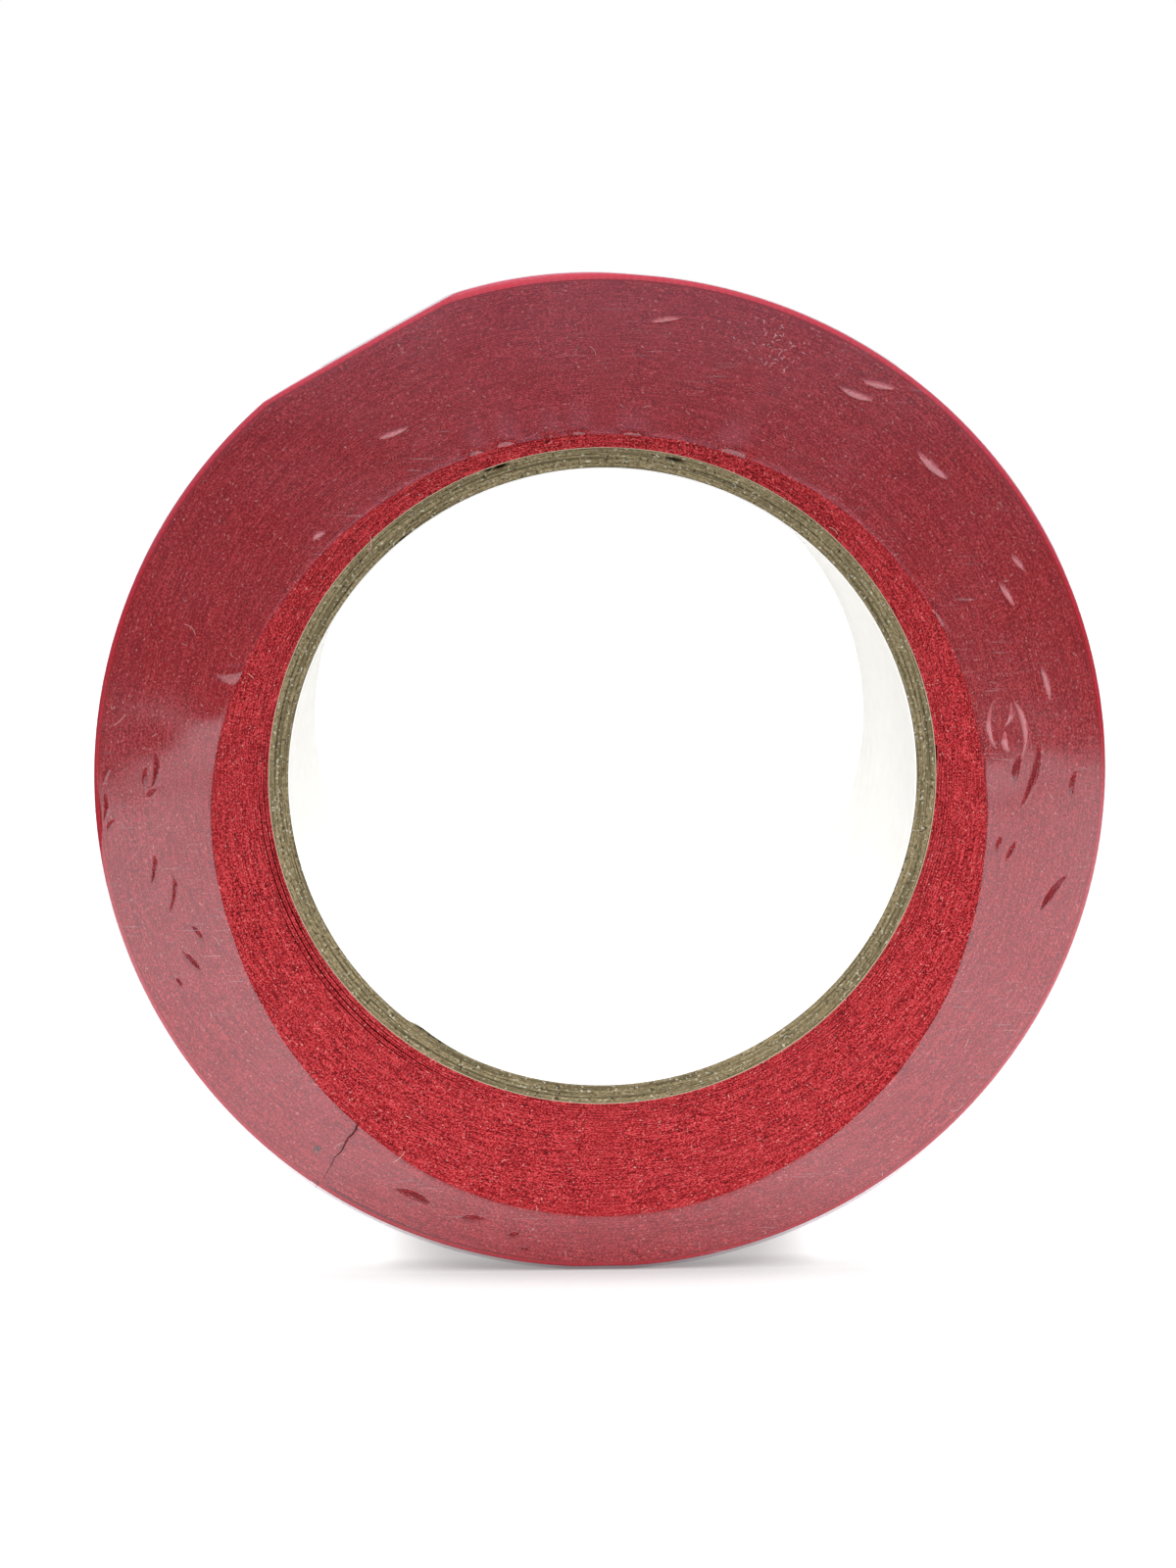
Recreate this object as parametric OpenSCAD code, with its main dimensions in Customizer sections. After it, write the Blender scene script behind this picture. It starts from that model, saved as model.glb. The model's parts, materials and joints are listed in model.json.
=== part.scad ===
// Roll of red cloth duct tape on a spiral wound paperboard core, still in its clear shrink film.
// The roll stands on its rim. The origin is the middle of the core's bore, +Y runs along the
// roll's axis away from the front face, and +Z is up. Angles are in degrees, read from the front,
// anticlockwise from +X. The tape winds outwards anticlockwise.

/* [Core] */
// Bore of the core, 3 inches
core_bore_d = 76.2; // [70:0.1:80]
// Thickness of the white paper liner inside and outside the core
liner_t = 0.2; // [0.1:0.05:0.4]
// Thickness of each of the four board plies
ply_t = 0.52; // [0.3:0.02:0.7]
// Glue line between two layers of the core, and between the core and the tape
glue_line = 0.02; // [0.01:0.01:0.05]

/* [Tape] */
// Width of the tape, and of the core that is slit with it
tape_w = 48; // [18:1:100]
// Diameter of the roll over its film
roll_d = 123.5; // [118:0.5:160]
// Thickness of the coated backing, the outside of the tape
backing_t = 0.08; // [0.05:0.01:0.12]
// Thickness of the woven scrim
scrim_t = 0.08; // [0.05:0.01:0.12]
// Thickness of the adhesive, the inside of the tape
adhesive_t = 0.09; // [0.05:0.01:0.12]
// Bond line between two layers of the tape
bond_line = 0.01; // [0.005:0.005:0.02]

/* [Free end of the tape] */
// Length of the end that peels off the roll
end_len = 48; // [30:1:60]
// How far the tape stops short of the film's seam
end_set_back = 1.5; // [1:0.1:4]
// Room under the end, so that it lifts clear of the turn below
end_lift_gap = 0.2; // [0.1:0.05:0.4]
// Slit where the end folds away from the last turn
end_slit = 0.3; // [0.2:0.05:0.6]

/* [Film] */
// Thickness of the film
film_t = 0.25; // [0.15:0.05:0.4]
// Room between the film and the tape
film_gap = 0.2; // [0.1:0.05:0.4]
// Where the film's seam lies on the rim
film_seam_a = 234.5; // [225:0.5:240]
// Width of the fold at its widest: on top of the front, at the bottom of the back
fold_wide = 19.6; // [12:0.1:20]
// Width of the fold at its narrowest, opposite
fold_narrow = 7.6; // [4:0.1:11]
// Width of the open seam, and of the slit where the flap folds
film_slit = 0.3; // [0.2:0.05:0.6]
// How far the flap's fold lies behind the fold of the tape's end
flap_reach = 3.2; // [2:0.1:8]

/* [Flats on the rim] */
// Depth of the flat that the roll stands on
foot_depth = 0.5; // [0.3:0.05:0.8]
// Depth of the flat pressed into the upper left of the rim
press_depth = 0.75; // [0.3:0.05:1]
// Where that flat lies
press_a = 118; // [100:1:140]

/* [Hidden] */
$fn = 180;

board_colour = "#8c8870";
liner_colour = "#efece4";
tape_colour = "#b3202c";
scrim_colour = "#d8c4bc";
adhesive_colour = "#e3dccb";
film_colour = [0.93, 0.82, 0.84, 0.35];

// Core, from the bore outwards
ply_count = 4;
ply_pitch = ply_t + glue_line;
bore_r = core_bore_d / 2;
first_ply_r = bore_r + liner_t + glue_line;
outer_liner_r = first_ply_r + ply_count * ply_pitch;
core_r = outer_liner_r + liner_t;

// Film, from the outside in
film_r = roll_d / 2;
film_inner_r = film_r - film_t;
film_inner_w = tape_w + 2 * film_gap;
film_w = film_inner_w + 2 * film_t;
opening_r = film_r - (fold_wide + fold_narrow) / 2;
opening_shift = (fold_wide - fold_narrow) / 2;

// Tape. A turn climbs by one pitch, half of it as the centre shifts for the second half turn.
tape_t = adhesive_t + scrim_t + backing_t + 2 * bond_line;
turn_pitch = tape_t + bond_line;
centre_shift = turn_pitch / 2;
wind_r = film_inner_r - film_gap - 2 * turn_pitch;
adhesive_at = bond_line;
scrim_at = adhesive_at + adhesive_t + bond_line;
backing_at = scrim_at + scrim_t + bond_line;

// Angles of the free end and of the flap over it
end_r = wind_r + turn_pitch + backing_at + backing_t;
turn_a = film_seam_a;
end_a = turn_a - arc_angle(end_set_back, end_r);
end_root_a = end_a - arc_angle(end_len, end_r);
flap_root_a = end_root_a - arc_angle(flap_reach, film_r);

// The two hinge lines run along Y through these points, in the middle of their slits
end_fold = polar(end_r, end_root_a + arc_angle(end_slit / 2, end_r));
flap_fold = polar(film_r, flap_root_a + arc_angle(film_slit / 2, film_r));

// Larger than anything that is cut
far = 2 * roll_d;

// Angle that a length takes on a circle
function arc_angle(length, radius) = length / radius * 180 / PI;

// Point at a distance and an angle
function polar(radius, angle) = radius * [cos(angle), sin(angle)];

// Middle of the tape's thickness, a given angle along the last turn
function strip_point(along) =
    polar(along < 180 ? 0 : centre_shift, turn_a)
    + polar(wind_r + (along < 180 ? 0 : centre_shift) + bond_line + tape_t / 2, turn_a + along);

// The last turn, end included, is one open strip: its start and its end stay apart.
strip_steps = 24;
strip_points = [for (i = [0:strip_steps]) strip_point(i / strip_steps * (360 + end_a - turn_a))];
strip_gap = min([
    for (i = [0:strip_steps / 2], j = [i + strip_steps / 2:strip_steps])
        norm(strip_points[j] - strip_points[i])
]) - tape_t;
echo(str("Least gap of the last turn to itself: ", strip_gap, " mm"));
echo(str("Hinge line of the film flap, x and z: ", flap_fold, " mm"));
echo(str("Hinge line of the tape's end, x and z: ", end_fold, " mm"));

// Stands a front view up and gives it a width along the roll's axis
module across(width) {
    rotate([90, 0, 0]) linear_extrude(width, center = true) children();
}

// Everything nearer the axis than a line square to an angle
module inside_line(distance, angle) {
    rotate(angle) translate([distance - far, -far / 2]) square(far);
}

// Everything anticlockwise of a radial line, and a little further on
module after(angle, further = 0) {
    rotate(angle) translate([-far / 2, further]) square(far);
}

// Everything clockwise of a radial line, and a little further back
module before(angle, further = 0) {
    rotate(angle) translate([-far / 2, -far - further]) square(far);
}

// Cuts the foot and the pressed flat from a profile, at the radii that it has there
module flattened(foot_r, press_r) {
    intersection() {
        children();
        inside_line(foot_r - foot_depth, -90);
        inside_line(press_r - press_depth, press_a);
    }
}

// Outline of the winding, with some thickness added all round: a circle, and for the second half
// turn a larger half circle that touches it where the half turns meet
module wound_profile(added) {
    second_r = wind_r + centre_shift + added;
    flattened(wind_r + added, second_r + centre_shift * cos(press_a - turn_a)) {
        union() {
            circle(wind_r + added);
            intersection() {
                translate(polar(centre_shift, turn_a)) circle(second_r);
                before(turn_a);
            }
        }
    }
}

// Outline of the film's inside or outside
module film_profile(radius) {
    flattened(radius, radius) circle(radius);
}

// The stretch of the last turn that peels
module end_sector() {
    intersection() {
        after(end_root_a);
        before(turn_a);
    }
}

// One tube of the core
module core_layer(inner_r, thickness) {
    across(tape_w) difference() {
        circle(inner_r + thickness);
        circle(inner_r);
    }
}

// One layer of the tape, wrapped on the winding
module tape_layer_profile(at, thickness) {
    difference() {
        wound_profile(at + thickness);
        wound_profile(at);
    }
}

// That layer on the last turn, up to where the end peels
module last_turn_layer(at, thickness) {
    across(tape_w) difference() {
        tape_layer_profile(at, thickness);
        end_sector();
    }
}

// That layer on the free end
module tape_end_layer(at, thickness) {
    across(tape_w) intersection() {
        tape_layer_profile(at, thickness);
        after(end_root_a, end_slit);
        before(end_a);
    }
}

// Round opening in the fold on one face
module film_opening(side) {
    translate([0, side * film_w / 2, side * opening_shift]) rotate([90, 0, 0])
        cylinder(h = 4 * film_t, r = opening_r, center = true);
}

// The whole film: a band round the rim, folded over both faces
module film() {
    difference() {
        across(film_w) film_profile(film_r);
        across(film_inner_w) film_profile(film_inner_r);
        film_opening(-1);
        film_opening(1);
    }
}

module core_inner_liner() {
    color(liner_colour) core_layer(bore_r, liner_t);
}

module core_ply(number) {
    color(board_colour) core_layer(first_ply_r + (number - 1) * ply_pitch, ply_t);
}

module core_outer_liner() {
    color(liner_colour) core_layer(outer_liner_r, liner_t);
}

// All turns but the last, lower under the free end
module tape_winding() {
    color(tape_colour) across(tape_w) difference() {
        union() {
            wound_profile(-end_lift_gap);
            difference() {
                wound_profile(0);
                end_sector();
            }
        }
        circle(core_r + glue_line);
    }
}

module last_turn_adhesive() {
    color(adhesive_colour) last_turn_layer(adhesive_at, adhesive_t);
}

module last_turn_scrim() {
    color(scrim_colour) last_turn_layer(scrim_at, scrim_t);
}

module last_turn_backing() {
    color(tape_colour) last_turn_layer(backing_at, backing_t);
}

module tape_end_adhesive() {
    color(adhesive_colour) tape_end_layer(adhesive_at, adhesive_t);
}

module tape_end_scrim() {
    color(scrim_colour) tape_end_layer(scrim_at, scrim_t);
}

module tape_end_backing() {
    color(tape_colour) tape_end_layer(backing_at, backing_t);
}

// The film, but for the flap
module film_sleeve() {
    color(film_colour) difference() {
        film();
        across(2 * film_w) intersection() {
            after(flap_root_a);
            before(film_seam_a);
        }
    }
}

// The piece of film beside the seam, which folds back at its root
module film_flap() {
    color(film_colour) intersection() {
        film();
        across(2 * film_w) intersection() {
            after(flap_root_a, film_slit);
            before(film_seam_a, film_slit);
        }
    }
}

core_inner_liner();
core_ply(1);  // core_ply_1
core_ply(2);  // core_ply_2
core_ply(3);  // core_ply_3
core_ply(4);  // core_ply_4
core_outer_liner();
tape_winding();
last_turn_adhesive();
last_turn_scrim();
last_turn_backing();
tape_end_adhesive();
tape_end_scrim();
tape_end_backing();
film_sleeve();
film_flap();
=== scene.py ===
"""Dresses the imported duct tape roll: a spiral wound board core, some seventy turns of red cloth tape,
the last turn and its free end as layered strip, and clear shrink film round it all.

Lengths are millimetres unless a name or a unit says otherwise, and a piece is scaled to metres when it
is finished. Angles are degrees, read from the front, anticlockwise from +X. Along means the angle
travelled from the film's seam round the last turn, from 0 to 360.
"""

import json
import math
import random

import bmesh
import bpy
from bpy.props import FloatProperty, FloatVectorProperty, IntProperty, PointerProperty
from bpy.types import Operator, Panel, PropertyGroup
from mathutils import Matrix, Vector, noise


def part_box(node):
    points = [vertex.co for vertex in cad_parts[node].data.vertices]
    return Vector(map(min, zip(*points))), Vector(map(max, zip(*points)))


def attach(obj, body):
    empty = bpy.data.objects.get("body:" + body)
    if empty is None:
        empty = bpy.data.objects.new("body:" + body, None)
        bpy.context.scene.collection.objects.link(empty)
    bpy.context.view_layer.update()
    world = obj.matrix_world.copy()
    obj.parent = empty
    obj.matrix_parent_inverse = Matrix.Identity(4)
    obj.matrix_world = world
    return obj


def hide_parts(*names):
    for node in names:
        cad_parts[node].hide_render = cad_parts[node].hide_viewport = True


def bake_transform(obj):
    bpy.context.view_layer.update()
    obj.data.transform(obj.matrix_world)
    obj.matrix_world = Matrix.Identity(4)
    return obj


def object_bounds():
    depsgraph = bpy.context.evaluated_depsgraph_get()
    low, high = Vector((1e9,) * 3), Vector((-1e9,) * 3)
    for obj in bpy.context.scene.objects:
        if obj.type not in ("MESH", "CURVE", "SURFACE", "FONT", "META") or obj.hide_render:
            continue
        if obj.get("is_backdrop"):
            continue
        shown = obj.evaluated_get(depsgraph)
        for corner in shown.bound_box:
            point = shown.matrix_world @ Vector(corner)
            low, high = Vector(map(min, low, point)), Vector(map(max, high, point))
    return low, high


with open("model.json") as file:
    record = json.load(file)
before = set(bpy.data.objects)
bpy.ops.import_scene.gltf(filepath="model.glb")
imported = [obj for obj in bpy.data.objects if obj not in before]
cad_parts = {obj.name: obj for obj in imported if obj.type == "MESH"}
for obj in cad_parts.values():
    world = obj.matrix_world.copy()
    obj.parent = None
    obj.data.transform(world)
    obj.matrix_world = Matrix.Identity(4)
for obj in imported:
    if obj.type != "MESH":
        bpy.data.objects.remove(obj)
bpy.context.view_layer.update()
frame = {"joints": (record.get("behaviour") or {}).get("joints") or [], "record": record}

bl_info = {
    "name": "Duct tape roll",
    "version": (1, 0, 0),
    "blender": (4, 5, 0),
    "location": "View3D > Sidebar > Tape roll",
    "description": "Builds the visible pieces of a roll of cloth tape around its packed frame",
    "category": "Object",
}

MM = 0.001


def high(node):
    """Highest corner of a node of the frame."""
    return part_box(node)[1] / MM


def angle_of(joint):
    """Angle at which a joint's axis passes the rim."""
    x, _, z = next(j for j in frame["joints"] if j["name"] == joint)["pos_m"]
    return math.degrees(math.atan2(z, x)) % 360


# Sizes that the frame gives
BORE_R = next(m for m in frame["record"]["mounts"] if m["name"] == "core_bore")["dims"]["r_mm"]
PLIES = ["core_ply_1", "core_ply_2", "core_ply_3", "core_ply_4"]
CORE_R = high("core_outer_liner").x
HALF_WIDTH = high("tape_winding").y
FILM_R = high("film_sleeve").x
FLAP_ROOT = angle_of("film_open")
END_ROOT = angle_of("tape_peel")

# The film's seam, where along the last turn the tape stops short of it, and how far beyond it the film
# bridges the step at the tape's end
SEAM = 234.5
END_STOP = 359.2
BRIDGE = 3.5

# Spacing of the cloth's threads along the tape and across it
THREADS = (0.95, 0.75)

# The roll hangs on its core: the rim lies lower than the bore by this much
RIM_DROP = 0.8

# Flats on the rim: angle, depth in the tape, depth in the film, how deep into the roll they reach
FLATS = ((270.0, 0.1, 0.1, 4.0), (119.0, 1.3, 1.15, 6.0))

# Turns near the core that have come loose: turn, first angle, last angle, gap
LOOSE_TURNS = ((0, 165, 216, 0.07), (1, 172, 236, 0.12), (3, 180, 246, 0.14), (5, 196, 240, 0.10))

# Nicks in the core's front end: angle, radius, length round the core, width, depth
CORE_NICKS = (
    (129.0, 37.9, 0.7, 0.4, 1.6),
    (107.8, 40.4, 0.6, 0.2, 2.6),
    (109.9, 40.5, 0.35, 0.14, 1.6),
    (77.9, 40.1, 1.0, 0.2, 1.4),
    (305.0, 39.6, 0.5, 0.35, 0.8),
)

# Wrinkles that stand up in the front film: x, z, length, tilt, bow, half width
WRINKLES = (
    (7.2, 55.6, 4.4, 7, 0.1, 0.30),
    (29.9, 46.9, 4.8, -21, -0.2, 0.40),
    (32.6, 48.0, 4.6, -13, -0.1, 0.38),
    (39.2, 38.4, 5.4, -41, -0.2, 0.46),
    (-25.0, 42.4, 4.6, 20, -0.1, 0.30),
    (-34.0, 30.3, 2.0, 32, 0.2, 0.30),
    (49.8, 26.8, 2.8, -48, 0.1, 0.28),
    (48.6, 23.0, 3.6, -54, 0.1, 0.32),
    (53.7, 12.2, 4.6, -72, 0.2, 0.34),
    (-54.3, 1.8, 4.4, 84, -0.4, 0.32),
    (-55.4, 0.8, 2.8, 92, 0.2, 0.26),
    (-54.8, -0.9, 1.4, 50, 0.0, 0.34),
    (-54.8, -10.4, 3.9, 84, -0.3, 0.30),
    (-52.6, -13.6, 5.2, 82, -0.5, 0.32),
    (-49.6, -18.5, 2.9, -58, 0.2, 0.32),
    (-50.4, -22.0, 3.9, -50, 0.1, 0.38),
    (-52.0, -24.7, 2.1, -60, 0.0, 0.28),
    (-23.6, -52.4, 6.0, -26, 0.35, 0.52),
    (-16.2, -55.3, 3.6, -5, 0.15, 0.44),
    (-11.2, -57.5, 1.7, 0, 0.0, 0.40),
    (-9.8, -59.5, 1.5, -8, 0.0, 0.36),
    (47.3, 7.2, 6.6, 94, 0.9, 0.34),
    (50.8, 6.6, 7.8, 99, -1.1, 0.36),
    (49.0, 5.0, 2.8, 100, 0.2, 0.42),
    (49.4, 8.4, 3.2, 80, -0.4, 0.32),
    (52.3, 0.4, 8.6, 76, -0.6, 0.40),
    (50.4, 1.0, 4.4, 80, 0.2, 0.42),
    (57.4, -0.7, 4.0, 82, 0.3, 0.28),
    (48.4, -8.2, 2.8, 76, 0.0, 0.28),
    (50.0, -9.0, 3.2, 66, 0.0, 0.30),
    (55.3, -14.3, 6.0, 56, 0.2, 0.48),
    (-60.1, 1.4, 2.4, 70, 0.4, 0.24),
    (-60.4, -2.6, 3.6, 88, -0.3, 0.24),
    (-59.8, -4.8, 1.8, 60, 0.3, 0.22),
)

# Places where the film stands up beside its opening: angle, half width, height, distance from the edge
LIFTED_EDGE = (
    (27.0, 4.0, 0.14, 0.6),
    (69.0, 3.8, 0.24, 0.9),
    (85.5, 3.2, 0.16, 0.6),
    (94.0, 2.4, 0.18, 0.7),
    (98.5, 1.6, 0.18, 0.7),
    (105.7, 2.6, 0.22, 0.8),
    (110.5, 2.4, 0.20, 0.8),
    (162.3, 1.5, 0.22, 0.8),
    (168.5, 5.5, 0.10, 1.1),
)

# Wrinkles above this height stand off the tape and show pale, those below it lie on the tape and show dark
# The film's material adds a painted highlight to the wrinkles above this height and a painted shade to those
# below it
PALE_ABOVE = 4

# Where the paper's seam begins in the bore and round the core, and how far its corner has come up in the bore
BORE_SEAM = 231.0
WRAP_SEAM = 40.0
BORE_CORNER_LIFT = 0.45

# A speck of dirt on the front film, beside the seam
SMUDGE = Vector((-35.6, -24.4, -46.0))

# Lamps: setting that holds the power, width and height, place, target
LAMPS = (
    ("softbox", (900, 900), Vector((60, -120, 760)), Vector((0, 0, 0))),
    ("back_light", (600, 600), Vector((0, 620, 330)), Vector((0, 0, -20))),
    ("fill", (220, 20), Vector((15, -132, -44)), Vector((15, 0, -38))),
)

# Camera, fitted to the outlines of the rim, the core and the bore
CAMERA_PLACE = Vector((-13.0, -347.3, 62.2))
CAMERA_TARGET = Vector((-1.91, -24.0, -0.08))
CAMERA_LENS = 62.15
CAMERA_SENSOR = 36.0


def linear(hex_colour):
    """sRGB hex, such as #b92832, as linear RGBA."""
    parts = [int(hex_colour[i:i + 2], 16) / 255 for i in (1, 3, 5)]
    return [c / 12.92 if c <= 0.04045 else ((c + 0.055) / 1.055) ** 2.4 for c in parts] + [1.0]


def length_property(name, description, millimetres):
    """A length that the panel shows in the scene's unit."""
    return FloatProperty(name=name, description=description, default=millimetres * MM, min=0,
                         precision=5, subtype="DISTANCE", unit="LENGTH")


def angle_property(name, description, degrees):
    """An angle that the panel shows in degrees."""
    return FloatProperty(name=name, description=description, default=math.radians(degrees),
                         subtype="ANGLE", unit="ROTATION")


def power_property(name, description, watts):
    """Power of a lamp."""
    return FloatProperty(name=name, description=description, default=watts, min=0, unit="POWER")


def colour_property(name, description, hex_colour):
    """A colour that the panel shows as a swatch."""
    return FloatVectorProperty(name=name, description=description, default=linear(hex_colour), size=4,
                               min=0, max=1, subtype="COLOR")


class CoreSettings(PropertyGroup):
    """The paperboard core."""

    fray: length_property("Fray", "How far the cut ends of the plies stand in and out", 0.07)
    rounding: length_property("Rounding", "Rounding of a ply's cut edges", 0.09)
    liner_turn: angle_property("Liner's turn", "How far the liner's seam winds from face to face", 156)
    board: colour_property("Board", "Grey chipboard of the plies", "#a29371")
    liner: colour_property("Liner", "White paper in the bore", "#fbfaf7")
    wrap_thickness: length_property("Wrap's thickness", "Thickness of the paper round the core", 0.1)
    wrap: colour_property("Wrap", "Pale paper between the core and the tape", "#b9ae94")


class TapeSettings(PropertyGroup):
    """The tape."""

    thickness: length_property("Thickness", "Thickness of the tape", 0.27)
    pitch: length_property("Pitch", "How far one turn of the tape climbs", 0.28)
    swell: length_property("Swell", "How far the wound tape stands beyond the frame's film", 0.1)
    edge: colour_property("Cut edge", "Cut edges of the wound tape", "#b2262d")
    backing: colour_property("Backing", "Coated outside of the tape", "#ee2039")
    scrim: colour_property("Scrim", "Cloth in the tape", "#d3a49d")
    adhesive: colour_property("Adhesive", "Inside of the tape", "#d9c9ae")
    fibres: IntProperty(name="Loose fibres", description="Fibre ends that stand out of the front face",
                        default=45, min=0)


class FilmSettings(PropertyGroup):
    """The shrink film."""

    thickness: length_property("Thickness", "Thickness of the film", 0.08)
    stand_off: length_property("Stand off", "How far the film's outside lies beyond the tape's edge", 0.3)
    corner: length_property("Corner", "Rounding where the film turns from the rim to a face", 0.45)
    opening_width: length_property("Opening's half width", "Half the width of the opening", 47.3)
    opening_height: length_property("Opening's half height", "Half the height of the opening", 48.5)
    opening_drop: length_property("Opening's drop", "How far the front opening lies below the axis", 5.85)
    wrinkle: angle_property("Wrinkle", "Slope of the wrinkles' broad walls", 15)
    clear: colour_property("Clear film", "What one wall of the film lets through", "#fbfafb")
    haze: colour_property("Haze", "Milky bloom on the film", "#e6d0d6")


class StageSettings(PropertyGroup):
    """Floor, lights and flags."""

    floor: colour_property("Floor", "Pale floor", "#b4b4b4")
    flag: colour_property("Flag", "Dark cards that the upper film mirrors", "#897f94")
    flag_distance: length_property("Flag's distance", "How far in front of the axis the floor ends", 382)
    flag_room: length_property("Flags' room", "Room between the flags at the sides", 340)
    ambient: FloatProperty(name="Ambient", description="Light from all round", default=0.5, min=0)
    softbox: power_property("Softbox", "Lamp over the roll", 5.0)
    back_light: power_property("Back light", "Lamp behind the roll", 7.0)
    fill: power_property("Fill", "Low lamp in front of the roll", 0.115)


# Nodes and materials. Inputs that go by number are, on a MapRange, its value, the two numbers that it is
# read between and the two that it gives. On a Mix they are its share at 0 and its colours at 6 and 7, and
# on a MixShader its share and its two shaders.

def add(tree, kind, inputs=None, **settings):
    """Adds a node, sets it, and links or sets its inputs. A node stands for its first output in use."""
    node = tree.nodes.new("ShaderNode" + kind)
    for name, value in settings.items():
        setattr(node, name, value)
    for key, value in (inputs or {}).items():
        if isinstance(value, bpy.types.Node):
            value = next(output for output in value.outputs if output.enabled)
        if isinstance(value, bpy.types.NodeSocket):
            tree.links.new(value, node.inputs[key])
        else:
            node.inputs[key].default_value = value
    return node


def new_material(name):
    """An empty material and its tree."""
    material = bpy.data.materials.new(name)
    material.use_nodes = True
    material.node_tree.nodes.clear()
    return material, material.node_tree


def show(tree, shader):
    """Links a shader to the material's output."""
    add(tree, "OutputMaterial", {"Surface": shader})


def surface(tree, relief, inputs):
    """Gives the material a surface with a relief: its pattern, its strength and its depth in millimetres."""
    pattern, strength, depth = relief
    bump = add(tree, "Bump", {"Height": pattern, "Strength": strength, "Distance": depth * MM})
    show(tree, add(tree, "BsdfPrincipled", {"Normal": bump, **inputs}))


def overlaid(tree, colour, *tones):
    """A colour with tones laid over it: pattern, where a tone starts and is full, its share and its hex."""
    for pattern, start, full, most, tone in tones:
        share = add(tree, "MapRange", {0: pattern, 1: start, 2: full, 4: most})
        colour = add(tree, "Mix", {0: share, 6: colour, 7: linear(tone)}, data_type="RGBA")
    return colour


def object_place(tree):
    """X, Y and Z of a point of the piece."""
    place = add(tree, "TexCoord")
    return add(tree, "SeparateXYZ", {0: place.outputs["Object"]}).outputs


def wound_grain(tree, along, across, detail, roughness=0.5):
    """Noise that follows the turns, from its sizes round the roll and out of it."""
    mean_r = (CORE_R + FILM_R) / 2
    x, _, z = object_place(tree)
    flat = add(tree, "CombineXYZ", {"X": x, "Y": z})
    way = add(tree, "VectorMath", {0: flat}, operation="NORMALIZE")
    ring = add(tree, "VectorMath", {0: way, "Scale": mean_r / along}, operation="SCALE")
    reach = add(tree, "VectorMath", {0: flat}, operation="LENGTH")
    out = add(tree, "Math", {0: reach, 1: 1 / (across * MM)}, operation="MULTIPLY")
    level = add(tree, "CombineXYZ", {"Z": out})
    place = add(tree, "VectorMath", {0: ring, 1: level})
    return add(tree, "TexNoise", {"Vector": place, "Scale": 1.0, "Detail": detail, "Roughness": roughness})


def under_film(tree, film):
    """1 where the film covers a face, 0 in its openings."""
    x, y, z = object_place(tree)
    side = add(tree, "Math", {0: y}, operation="SIGN")
    level = add(tree, "Math", {0: side, 1: -film.opening_drop, 2: z}, operation="MULTIPLY_ADD")
    flat = add(tree, "CombineXYZ", {"X": x, "Y": level})
    halves = (film.opening_width, film.opening_height, 1.0)
    oval = add(tree, "VectorMath", {0: flat, 1: halves}, operation="DIVIDE")
    reach = add(tree, "VectorMath", {0: oval}, operation="LENGTH")
    return add(tree, "MapRange", {0: reach, 1: 0.99, 2: 1.02})


def tape_edge_material(tape, film):
    """Cut edges of cloth tape: dull red felt of thread ends, with pale fibres and dark pits.

    Under the film it looks flatter. The fibres are too fine to show in a render, so the felt's grain is drawn
    coarser than they are.
    """
    material, tree = new_material("Cut edges of red cloth tape")
    felt = wound_grain(tree, 0.26, 0.15, 1.0, 0.7)
    turns = wound_grain(tree, 3.2, 0.21, 2.0, 0.6)
    ends = wound_grain(tree, 0.40, 0.24, 1.0, 0.65)
    cloudy = wound_grain(tree, 14.0, 3.0, 2.0)
    grain = add(tree, "Math", {0: turns, 1: 0.46, 2: felt}, operation="MULTIPLY_ADD")
    covered = under_film(tree, film)
    pits = add(tree, "MapRange", {0: covered, 3: 0.0, 4: 0.4})
    crests = add(tree, "MapRange", {0: covered, 3: 1.0, 4: 0.9})
    low = add(tree, "MapRange", {0: grain, 1: 0.605, 2: 0.75, 3: pits})
    dark = add(tree, "Mix", {0: low, 6: linear("#560910"), 7: tape.edge}, data_type="RGBA")
    colour = overlaid(tree, dark, (grain, 0.735, 0.885, crests, "#d84f54"),
                      (cloudy, 0.35, 0.65, 0.2, "#a8343a"), (ends, 0.66, 0.76, 0.75, "#eda59f"))
    surface(tree, (grain, 0.7, 0.1), {"Base Color": colour, "Roughness": 0.85, "Specular IOR Level": 0.25})
    return material


def strip_place(tree):
    """Length along the strip and place across it, in millimetres, kept on the strip's own points."""
    place = add(tree, "Attribute", attribute_name="strip")
    return add(tree, "SeparateXYZ", {0: place.outputs["Vector"]}).outputs


def weave(tree):
    """Height of the cloth's plain weave, from 0 to 1."""
    ribs = []
    for coordinate, spacing in zip(strip_place(tree), THREADS):
        angle = add(tree, "Math", {0: coordinate, 1: math.pi / spacing}, operation="MULTIPLY")
        wave = add(tree, "Math", {0: angle}, operation="SINE")
        ribs.append(add(tree, "Math", {0: wave}, operation="ABSOLUTE"))
    return add(tree, "Math", {0: ribs[0], 1: ribs[1]}, operation="MAXIMUM")


def knife_dragged(tree, colour, tape):
    """A colour that turns red at the slit edges, where the knife has dragged the red coat over it."""
    _, across, _ = strip_place(tree)
    reach = add(tree, "Math", {0: across}, operation="ABSOLUTE")
    edge = add(tree, "MapRange", {0: reach, 1: HALF_WIDTH - 0.4, 2: HALF_WIDTH - 0.05})
    return add(tree, "Mix", {0: edge, 6: colour, 7: tape.edge}, data_type="RGBA")


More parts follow.
